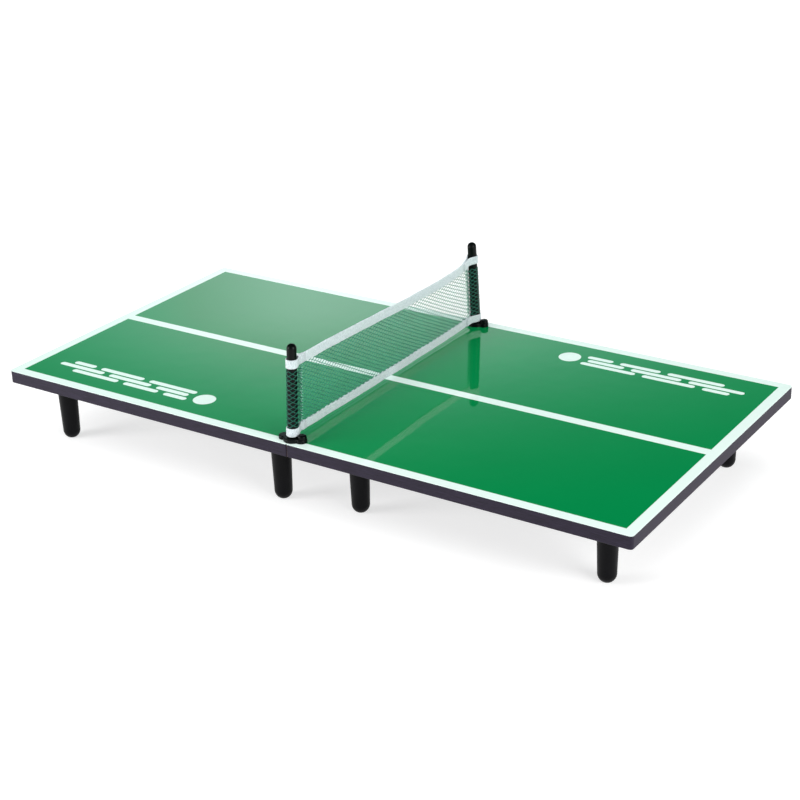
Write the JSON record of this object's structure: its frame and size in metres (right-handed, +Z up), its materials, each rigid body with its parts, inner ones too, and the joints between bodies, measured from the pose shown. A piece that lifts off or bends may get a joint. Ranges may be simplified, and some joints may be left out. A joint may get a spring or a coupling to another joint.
{
  "type": "tabletop ping pong table",
  "caption": "Small rectangular tabletop ping pong table: hinged board in two halves on short round pegs, with a lift-off net between two posts.",
  "frame": {"origin": "on the floor under the middle of the table, where the seam between the halves crosses the centre line", "axes": "+X along the table's length towards the right half, +Y across its width to the back, +Z up"},
  "size_m": [0.6, 0.3, 0.1461],
  "materials": {
    "green_print": "glossy printed and lacquered sheet, green with white court lines",
    "fibreboard": "raw fibreboard",
    "edge_band": "dark purple-grey edge foil with a fine grain",
    "backing": "dark grey backing paper",
    "black_leg": "satin black moulded plastic",
    "stud_steel": "zinc plated",
    "insert_brass": "turned",
    "hinge_steel": "zinc plated",
    "screw_steel": "zinc plated",
    "black_post": "satin black moulded plastic",
    "net_mesh": "knitted mesh, dark green",
    "net_tape": "woven white tape"
  },
  "bodies": {
    "left_half": {"back_hinge_left_leaf": "hinge_steel", "back_hinge_pin": "hinge_steel", "front_hinge_left_leaf": "hinge_steel", "front_hinge_pin": "hinge_steel", "left_back_inner_leg": "black_leg", "left_back_outer_leg": "black_leg", "left_backing_sheet": "backing", "left_board_core": "fibreboard", "left_edge_band": "edge_band", "left_front_inner_leg": "black_leg", "left_front_outer_leg": "black_leg", "left_hinge_screws": "screw_steel", "left_leg_inserts": "insert_brass", "left_leg_studs": "stud_steel", "left_top_laminate": "green_print"},
    "right_half": {"back_hinge_right_leaf": "hinge_steel", "front_hinge_right_leaf": "hinge_steel", "right_back_inner_leg": "black_leg", "right_back_outer_leg": "black_leg", "right_backing_sheet": "backing", "right_board_core": "fibreboard", "right_edge_band": "edge_band", "right_front_inner_leg": "black_leg", "right_front_outer_leg": "black_leg", "right_hinge_screws": "screw_steel", "right_leg_inserts": "insert_brass", "right_leg_studs": "stud_steel", "right_top_laminate": "green_print"},
    "net_set": {"back_net_post": "black_post", "back_net_sleeve": "net_mesh", "front_net_post": "black_post", "front_net_sleeve": "net_mesh", "net_bottom_tape": "net_tape", "net_mesh": "net_mesh", "net_top_tape": "net_tape"}
  },
  "joints": [
    {"name": "half_fold", "type": "hinge", "parent": "left_half", "child": "right_half", "pos_m": [0, 0, 0.0526], "axis": [0, 1, 0], "range_deg": [0, 62]},
    {"name": "net_lift", "type": "slide", "parent": "left_half", "child": "net_set", "axis": [0, 0, 1], "range_m": [0, 0.04]}
  ]
}
